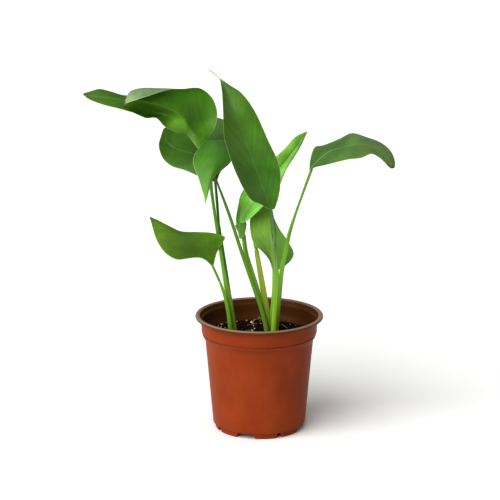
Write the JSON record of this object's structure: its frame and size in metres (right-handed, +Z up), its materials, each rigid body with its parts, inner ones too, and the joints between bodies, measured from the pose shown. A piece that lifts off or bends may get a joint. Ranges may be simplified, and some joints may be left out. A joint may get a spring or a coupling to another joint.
{
  "type": "potted bird of paradise plant",
  "caption": "Young bird of paradise plant with long-stalked, pointed, folded and rolled leaves, standing in soil in a round terracotta-coloured plastic nursery pot.",
  "frame": {"origin": "the pot's axis at the surface that the pot stands on", "axes": "+Z up along the pot's axis, -Y towards the viewer of the picture, +X to the picture's right"},
  "size_m": [0.3619, 0.1869, 0.4406],
  "materials": {
    "pot": "satin",
    "soil": "rough",
    "leaf_tall_stalk": "satin",
    "leaf_tall_blade": "satin",
    "leaf_right_stalk": "satin",
    "leaf_right_blade": "satin",
    "leaf_mid_stalk": "satin",
    "leaf_mid_blade": "satin",
    "leaf_hidden_stalk": "satin",
    "leaf_hidden_blade": "satin",
    "leaf_rolled_stalk": "satin",
    "leaf_rolled_blade": "satin",
    "leaf_top_left_stalk": "satin",
    "leaf_top_left_blade": "satin",
    "leaf_arching_stalk": "satin",
    "leaf_arching_blade": "satin",
    "leaf_front_stalk": "satin",
    "leaf_front_blade": "satin",
    "leaf_back_left_stalk": "satin",
    "leaf_back_left_blade": "satin",
    "leaf_low_left_stalk": "satin",
    "leaf_low_left_blade": "satin"
  },
  "bodies": {
    "root": {"pot": "pot", "soil": "soil", "leaf_tall_stalk": "leaf_tall_stalk", "leaf_tall_blade": "leaf_tall_blade", "leaf_right_stalk": "leaf_right_stalk", "leaf_right_blade": "leaf_right_blade", "leaf_mid_stalk": "leaf_mid_stalk", "leaf_mid_blade": "leaf_mid_blade", "leaf_hidden_stalk": "leaf_hidden_stalk", "leaf_hidden_blade": "leaf_hidden_blade", "leaf_rolled_stalk": "leaf_rolled_stalk", "leaf_rolled_blade": "leaf_rolled_blade", "leaf_top_left_stalk": "leaf_top_left_stalk", "leaf_top_left_blade": "leaf_top_left_blade", "leaf_arching_stalk": "leaf_arching_stalk", "leaf_arching_blade": "leaf_arching_blade", "leaf_front_stalk": "leaf_front_stalk", "leaf_front_blade": "leaf_front_blade", "leaf_back_left_stalk": "leaf_back_left_stalk", "leaf_back_left_blade": "leaf_back_left_blade", "leaf_low_left_stalk": "leaf_low_left_stalk", "leaf_low_left_blade": "leaf_low_left_blade"}
  },
  "joints": []
}
